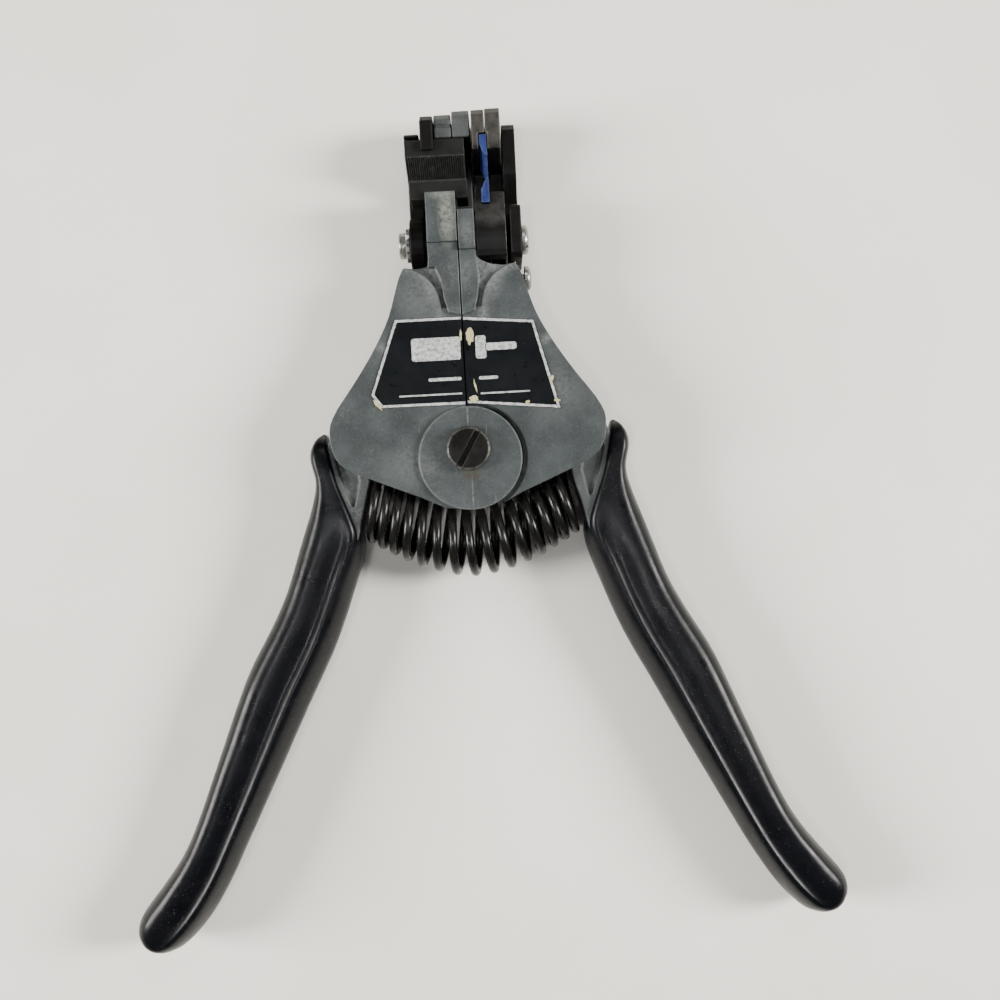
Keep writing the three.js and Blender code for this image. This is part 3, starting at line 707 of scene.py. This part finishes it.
# ---------------------------------------------------------------- springs

COILS = 15
COIL_RADIUS = 6.9
WIRE_RADIUS = 0.975
HALF_CHORD = 22.3
SAG = 9.2
SAG_POWER = 1.7
SPRING_END_Y = -11.3
SPRING_Z = 10.1
CROWDING = 0.08
END_LEAN = math.radians(14.5)
END_COILS = 3
RING_SIDES = 12
RINGS_PER_COIL = 30
PATH_STEP = 1e-4


def bowed_coil(share):
    """Centre of the handle spring's wire, and the way off the coil's axis, at a share of its length."""
    evenly = 2 * share - 1
    place = evenly + CROWDING * math.sin(math.pi * evenly)
    lean = END_LEAN * math.tanh(2 * evenly) / math.tanh(2)
    turn = 2 * math.pi * COILS * share
    outward = Vector((-math.sin(lean) * math.cos(turn), math.cos(lean) * math.cos(turn), math.sin(turn)))
    sag = SAG * (1 - abs(place) ** SAG_POWER)
    return Vector((HALF_CHORD * place, SPRING_END_Y - sag, SPRING_Z)) + COIL_RADIUS * outward, outward


def tube_rings(path, wire_radius, first, last, count):
    """Rings of a round wire along a path, which gives a place and a direction off its axis."""
    rings = []
    for index in range(count + 1):
        share = first + (last - first) * index / count
        centre, outward = path(share)
        ahead, _ = path(share + PATH_STEP)
        tangent = (ahead - centre).normalized()
        normal = (outward - outward.dot(tangent) * tangent).normalized()
        side = tangent.cross(normal)
        rings.append([
            centre + wire_radius * (math.cos(angle) * normal + math.sin(angle) * side)
            for angle in (2 * math.pi * corner / RING_SIDES for corner in range(RING_SIDES))
        ])
    return rings


def make_handle_spring():
    stretches = [
        ("spring_gripper_end", 0, END_COILS, "gripper_handle", "gripper_frame"),
        ("spring_middle", END_COILS, COILS - END_COILS, "gripper_frame", "cutter_frame"),
        ("spring_cutter_end", COILS - END_COILS, COILS, "cutter_frame", "cutter_handle"),
    ]
    for name, first, last, body, next_body in stretches:
        count = (last - first) * RINGS_PER_COIL
        rings = tube_rings(bowed_coil, WIRE_RADIUS, first / COILS, last / COILS, count)
        points, faces = loft(rings)
        piece = make_piece(name, points, faces, OILED_STEEL)
        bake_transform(piece)
        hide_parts("handle_spring")


RETURN_HALF = 4.2
RETURN_Y = 18
RETURN_Z = 8
RETURN_RADIUS = 2.2
RETURN_COILS = 8
RETURN_WIRE = 0.35


def straight_coil(share):
    turn = 2 * math.pi * RETURN_COILS * share
    outward = Vector((0, math.cos(turn), math.sin(turn)))
    return Vector((RETURN_HALF * (2 * share - 1), RETURN_Y, RETURN_Z)) + RETURN_RADIUS * outward, outward


def make_return_spring():
    points, faces = loft(tube_rings(straight_coil, RETURN_WIRE, 0, 1, RETURN_COILS * RINGS_PER_COIL))
    piece = make_piece("return_spring_wire", points, faces, OILED_STEEL)
    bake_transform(piece)
    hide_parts("frame_return_spring")


# ---------------------------------------------------------------- ribbed gripping pads

RIBS = 28
RIB_DEPTH = 0.3
# Shares of a rib's pitch, and the depth there.
RIB_PROFILE = [(0.04, RIB_DEPTH), (0.30, 0), (0.62, 0), (0.88, RIB_DEPTH)]


def rib_stations(left, right):
    """Places across a pad with the depth of the ribbed face there: flat crests and grooves."""
    pitch = (right - left) / RIBS
    stations = []
    for rib in range(RIBS):
        start = left + rib * pitch
        for share, depth in RIB_PROFILE:
            stations.append((start + share * pitch, depth))
    return [(left, RIB_DEPTH), *stations, (right, RIB_DEPTH)]


UPPER_PAD_RISE = 4
UPPER_PAD_CORNER = 0.35


def make_upper_pad():
    low, high = UPPER_PAD_LOW, UPPER_PAD_HIGH
    corner = UPPER_PAD_CORNER
    rings = []
    for x, depth in rib_stations(low.x, high.x):
        rings.append([
            (x, high.y - UPPER_PAD_RISE + depth, high.z),
            (x, high.y - corner, high.z),
            (x, high.y, high.z - corner),
            (x, high.y, low.z),
            (x, low.y + depth, low.z),
        ])
    points, faces = loft(rings)
    piece = make_piece("gripper_upper_ribs", points, faces, PAD_STEEL)
    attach(piece, "gripper_jaw")
    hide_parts("gripper_upper_pad")


LEG_TOP = 56.3
LEFT_LEG = -7
RIGHT_LEG = 0.15
LOWER_PAD_CORNER = 0.3


def make_lower_pad():
    low, high = LOWER_PAD_LOW, LOWER_PAD_HIGH
    corner = LOWER_PAD_CORNER
    rings = []
    for x, depth in rib_stations(low.x, high.x):
        foot = LEG_TOP if LEFT_LEG < x < RIGHT_LEG else low.y
        rings.append([
            (x, high.y - depth, high.z - corner / 2),
            (x, high.y - depth - corner / 2, high.z),
            (x, foot, high.z),
            (x, foot, low.z),
            (x, high.y - depth, low.z),
        ])
    points, faces = loft(rings)
    piece = make_piece("gripper_lower_ribs", points, faces, PAD_STEEL)
    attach(piece, "gripper_frame")
    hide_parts("gripper_lower_pad")


# ---------------------------------------------------------------- ground blades

JAW_OPENING = math.tan(math.radians(25))
MOUTH_FRONT = 16
MOUTH_ROOF = 65
BLADE_LEFT, BLADE_RIGHT = 5.65, 7.35
BLADE_STEP = 0.15
NOTCHES = 5
LAST_NOTCH = 0.25
NOTCH_GROWTH = 0.04
NOTCH_SCALE = 1.1
GRIND_WAVE = 0.12
GRIND_RIPPLE = 1.3
# The ground slope and the bevel behind the edge: how far across, and how far back from the edge.
GRIND_EDGE = (0.75, 0.9)
GRIND_KNEE = (0.3, 2.2)
GRIND_ROOT = 2.4
BACK_BEVEL = (0.3, 0.15)


def notch_depth(share):
    """Depth of the half-round wire notches at a share of a blade's edge. They shrink to the back."""
    place = share * (NOTCHES + 1)
    nearest = min(NOTCHES, max(1, round(place)))
    radius = LAST_NOTCH + NOTCH_GROWTH * (NOTCHES - nearest)
    return math.sqrt(max(0.0, radius ** 2 - (place - nearest) ** 2))


def blade_rings(front, back, edge_at, root, sign):
    """Sections of a blade ground on its left face. Its edge points along sign times Y."""
    count = int((front - back) / BLADE_STEP)
    rings = []
    for index in range(count + 1):
        share = index / count
        z = front + (back - front) * share
        edge = edge_at(z) - sign * NOTCH_SCALE * notch_depth(share)
        wave = GRIND_WAVE * noise.noise(Vector((z * GRIND_RIPPLE, sign, 0)))
        rings.append([
            (BLADE_LEFT, root, z),
            (BLADE_RIGHT, root, z),
            (BLADE_RIGHT, edge - sign * BACK_BEVEL[1], z),
            (BLADE_RIGHT - BACK_BEVEL[0], edge, z),
            (BLADE_LEFT + GRIND_EDGE[0] + wave, edge - sign * GRIND_EDGE[1], z),
            (BLADE_LEFT + GRIND_KNEE[0] + wave, edge - sign * GRIND_KNEE[1], z),
            (BLADE_LEFT, edge - sign * GRIND_ROOT, z),
        ])
    return rings


def make_blades():
    def roof_at(z):
        return MOUTH_ROOF - (MOUTH_FRONT - z) * JAW_OPENING

    upper_low, upper_high = box_mm("cutter_upper_blade")
    lower_low, lower_high = box_mm("cutter_lower_blade")
    blades = [
        ("upper", blade_rings(upper_high.z, upper_low.z, roof_at, upper_high.y, -1)),
        ("lower", blade_rings(lower_high.z, lower_low.z, lambda z: lower_high.y, lower_low.y, 1)),
    ]
    for name, rings in blades:
        points, faces = loft(rings)
        piece = make_piece(f"cutter_{name}_ground_blade", points, faces, BLUE_STEEL)
        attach(piece, BODY_OF[f"cutter_{name}_blade"])
        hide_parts(f"cutter_{name}_blade")


# ---------------------------------------------------------------- screws

LATHE_SIDES = 64
POINT = 0.02
CUT_PAST = 1


def turned(profile, axis_point, along_x):
    """A round piece from (radius, place along the axis) steps, about an axis along X or Z."""
    rings = []
    for radius, place in profile:
        ring = []
        for index in range(LATHE_SIDES):
            angle = 2 * math.pi * index / LATHE_SIDES
            across, up = radius * math.cos(angle), radius * math.sin(angle)
            if along_x:
                ring.append((place, axis_point[0] + across, axis_point[1] + up))
            else:
                ring.append((axis_point[0] + across, axis_point[1] + up, place))
        rings.append(ring)
    return loft(rings)


def carve(piece, cutter):
    """Cuts one piece with another, which is then removed."""
    boolean = piece.modifiers.new("cut", "BOOLEAN")
    boolean.operation = "DIFFERENCE"
    boolean.object = cutter
    bpy.context.view_layer.update()
    shape = piece.evaluated_get(bpy.context.evaluated_depsgraph_get())
    carved = bpy.data.meshes.new_from_object(shape)
    piece.modifiers.clear()
    piece.data = carved
    carved.set_sharp_from_angle(angle=SMOOTH_ANGLE)
    bpy.data.objects.remove(cutter)


SLOT_TURN = math.radians(60)
SLOT_WIDTH = 1.25
SLOT_DEPTH = 1.7
MAIN_SHANK = 3
MAIN_SEAT = 20.25
JAW_HEAD_THICKNESS = 1.6
JAW_SLOT_WIDTH = 0.8
JAW_SLOT_DEPTH = 0.75
# A domed rim: how far in from the head's radius, and down from its top, as shares of the crown.
DOMED_RIM = [(0, 1), (0.55, 0.49), (1.8, 0.16), (3.5, 0)]


def groove(name, corners_mm):
    """A box through eight corners, made to cut with."""
    points, faces = loft([corners_mm[:4], corners_mm[4:]])
    return make_piece(name, points, faces, SCREW_STEEL)


def make_main_screw():
    low, high = SCREW_LOW, SCREW_HIGH
    radius = high.x
    profile = [
        (POINT, low.z), (MAIN_SHANK, low.z), (MAIN_SHANK, MAIN_SEAT), (radius - 0.1, MAIN_SEAT),
        (radius, MAIN_SEAT + 0.12), (radius, high.z - 0.4), (radius - 0.35, high.z - 0.05),
        (radius - 0.45, high.z), (POINT, high.z),
    ]
    points, faces = turned(profile, (0, 0), along_x=False)
    screw = make_piece("main_pivot_screw_head", points, faces, SCREW_STEEL)
    along = Vector((math.cos(SLOT_TURN), math.sin(SLOT_TURN), 0)) * (radius + CUT_PAST)
    across = Vector((-math.sin(SLOT_TURN), math.cos(SLOT_TURN), 0)) * (SLOT_WIDTH / 2)
    floor, top = Vector((0, 0, high.z - SLOT_DEPTH)), Vector((0, 0, high.z + CUT_PAST))
    corners = [
        end * along + side * across + level
        for level in (floor, top)
        for end, side in ((-1, -1), (1, -1), (1, 1), (-1, 1))
    ]
    carve(screw, groove("screw_slot", corners))
    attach(screw, BODY_OF["main_pivot_screw"])
    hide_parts("main_pivot_screw")


def make_jaw_screw(node, shank, head, outward, slot_turn, crown):
    """A screw along X. Its crown says how much of the head's thickness is domed."""
    low, high = box_mm(node)
    end, top = (high.x, low.x) if outward < 0 else (low.x, high.x)
    seat = top - outward * JAW_HEAD_THICKNESS
    dome_height = outward * crown * JAW_HEAD_THICKNESS
    rim = [(head - inset * crown, top - drop * dome_height) for inset, drop in DOMED_RIM]
    profile = [
        (POINT, end), (shank, end), (shank, seat), (head - 0.1, seat), (head, seat + outward * 0.1),
        *rim, (POINT, top),
    ]
    centre = ((low.y + high.y) / 2, (low.z + high.z) / 2)
    points, faces = turned(profile, centre, along_x=True)
    screw = make_piece(f"{node}_turned", points, faces, BRIGHT_STEEL)
    along = Vector((0, math.cos(slot_turn), math.sin(slot_turn))) * (head + CUT_PAST)
    across = Vector((0, -math.sin(slot_turn), math.cos(slot_turn))) * (JAW_SLOT_WIDTH / 2)
    corners = [
        Vector((x, *centre)) + end_sign * along + side * across
        for x in (top - outward * JAW_SLOT_DEPTH, top + outward * CUT_PAST)
        for end_sign, side in ((-1, -1), (1, -1), (1, 1), (-1, 1))
    ]
    carve(screw, groove("jaw_screw_slot", corners))
    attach(screw, BODY_OF[node])
    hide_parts(node)


def make_screws():
    make_main_screw()
    make_jaw_screw("gripper_pivot_screw", 1.9, 2.95, -1, math.radians(35), 0.16)
    make_jaw_screw("cutter_pivot_screw", 1.9, 3.35, 1, math.radians(-50), 0.45)
    make_jaw_screw("cutter_neck_screw", 1.1, 2.7, 1, math.radians(15), 0.45)


# ---------------------------------------------------------------- label

# Each half's outer edge, from the top of the seam round to its foot, on the cutter's side.
LABEL_EDGES = {
    "gripper": [(0.25, 28.9), (14.7, 28.9), (20.65, 12.75), (18.55, 9.9), (0.25, 9.8)],
    "cutter": [(0.25, 28.8), (15.5, 27.4), (20.45, 7.95), (0.25, 10.05)],
}
BORDER_WIDTH = 0.55
FOIL = 0.05
SCRAP_STEP = 0.02
RAGGED_STEP = 0.4
RAGGED_REACH = 0.07
RAGGED_PITCH = 1.7
SCRAP_CORNERS = 18
SCRAP_REACH = (0.62, 1.0)
SCRAP_SEED = 11
BAR_CLIP = 0.35


def thin_plate(outline, thickness):
    """A flat solid over an outline on the label's face."""
    low = [(x, y, LABEL_FRONT) for x, y in outline]
    high = [(x, y, LABEL_FRONT + thickness) for x, y in outline]
    return loft([low, high])


def border_outline(name):
    """A band just inside the label's edge, open at the seam, with slightly ragged sides."""
    corners = [Vector(corner) for corner in LABEL_EDGES[name]]
    outer, inner = [], []
    for index, corner in enumerate(corners):
        before = corners[max(0, index - 1)]
        after = corners[min(len(corners) - 1, index + 1)]
        first = (corner - before).normalized() if index else (after - corner).normalized()
        second = (after - corner).normalized() if index < len(corners) - 1 else first
        normals = [Vector((direction.y, -direction.x)) for direction in (first, second)]
        miter = (normals[0] + normals[1]).normalized()
        outer.append(corner)
        inner.append(corner + miter * BORDER_WIDTH / miter.dot(normals[0]))
    ragged = [ragged_line(line) for line in (outer, inner)]
    return [(SIDES[name] * x, y) for x, y in [*ragged[0], *reversed(ragged[1])]]


def ragged_line(corners):
    places = []
    for start, end in zip(corners, corners[1:]):
        steps = max(2, int((end - start).length / RAGGED_STEP))
        for step in range(steps):
            place = start.lerp(end, step / steps)
            shift = RAGGED_REACH * noise.noise(Vector((place.x, place.y, 3)) * RAGGED_PITCH) if step else 0
            places.append(place + Vector((shift, shift)))
    return [*places, corners[-1]]


def flake(rng, centre, size, turn):
    """The outline of a torn scrap."""
    corners = []
    for index in range(SCRAP_CORNERS):
        angle = 2 * math.pi * index / SCRAP_CORNERS
        reach = rng.uniform(*SCRAP_REACH)
        x, y = size[0] * reach * math.cos(angle), size[1] * reach * math.sin(angle)
        corners.append((
            centre[0] + x * math.cos(turn) - y * math.sin(turn),
            centre[1] + x * math.sin(turn) + y * math.cos(turn),
        ))
    return corners


def bar(left, right, low, high):
    """A bar with clipped corners."""
    clip = min(BAR_CLIP, (high - low) / 3)
    return [
        (left, low + clip), (left + clip, low), (right - clip, low), (right, low + clip),
        (right, high - clip), (right - clip, high), (left + clip, high), (left, high - clip),
    ]


# A plain stripped-wire sign over two rules: the left, right, lower and upper limits of each bar.
SIGN_BARS = {
    "gripper": [(-11.4, -0.7, 19.6, 24.6), (-8.0, -0.8, 15.1, 15.8), (-14.6, -0.8, 12.0, 12.35)],
    "cutter": [
        (2.6, 4.9, 19.6, 24.6), (4.7, 11.6, 21.3, 22.9), (3.0, 7.2, 15.0, 15.7), (3.2, 14.0, 11.8, 12.15),
    ],
}
# Scraps of old adhesive: centre, half size and turn in degrees.
SCRAPS = {
    "gripper": [((-19.4, 10.6), (0.45, 1.7), 38), ((-0.5, 25.0), (0.3, 1.6), 0)],
    "cutter": [
        ((1.45, 24.7), (0.95, 2.3), 4), ((2.15, 13.6), (0.22, 1.9), 12), ((1.7, 10.9), (1.1, 1.0), 0),
        ((18.9, 14.4), (0.45, 1.1), -20), ((19.8, 9.6), (0.8, 0.4), 0), ((13.4, 9.6), (0.6, 0.45), 20),
    ],
}


def make_label():
    rng = random.Random(SCRAP_SEED)
    for name in SIDES:
        parts = [("border", border_outline(name), FOIL, SILVER)]
        for index, limits in enumerate(SIGN_BARS[name], 1):
            parts.append((f"sign_{index}", bar(*limits), FOIL, SILVER))
        for index, (centre, size, turn) in enumerate(SCRAPS[name], 1):
            scrap = flake(rng, centre, size, math.radians(turn))
            parts.append((f"adhesive_{index}", scrap, FOIL + SCRAP_STEP * index, ADHESIVE))
        for part, outline, thickness, look in parts:
            points, faces = thin_plate(outline, thickness)
            piece = make_piece(f"{name}_label_{part}", points, faces, look)
            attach(piece, f"{name}_frame")


make_camera()
make_studio()
dress_nodes()
make_sleeves()
make_handle_spring()
make_return_spring()
make_upper_pad()
make_lower_pad()
make_blades()
make_screws()
make_label()
